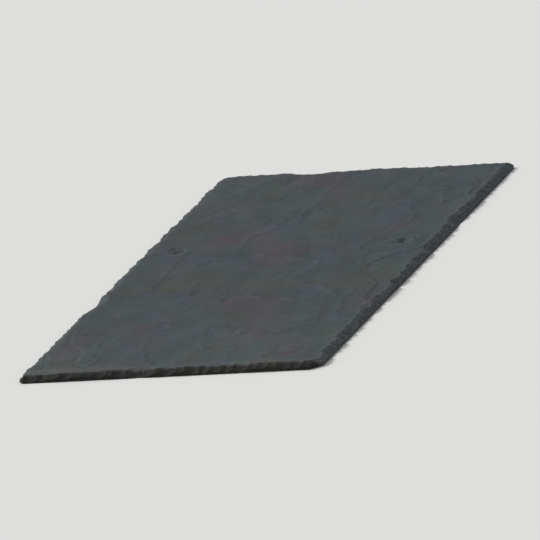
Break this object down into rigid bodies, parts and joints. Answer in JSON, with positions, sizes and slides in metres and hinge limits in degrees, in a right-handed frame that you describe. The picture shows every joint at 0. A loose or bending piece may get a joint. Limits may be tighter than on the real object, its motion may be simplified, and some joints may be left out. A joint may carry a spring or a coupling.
{
  "type": "slate roof tile",
  "caption": "Natural slate roof tile: a thin riven rectangular sheet with chipped, dressed edges and punched nail holes, for lapped courses.",
  "frame": {"origin": "middle of the bed, the side that lies on the roof", "axes": "+X across the slate, +Y from the tail, the end that shows on the roof, up to the head, +Z out through the face"},
  "size_m": [0.25, 0.5, 0.0065],
  "materials": {
    "slate": "riven blue-grey slate, matt, with a faint sheen on the cleavage"
  },
  "bodies": {
    "root": {"slate": "slate"}
  },
  "joints": []
}
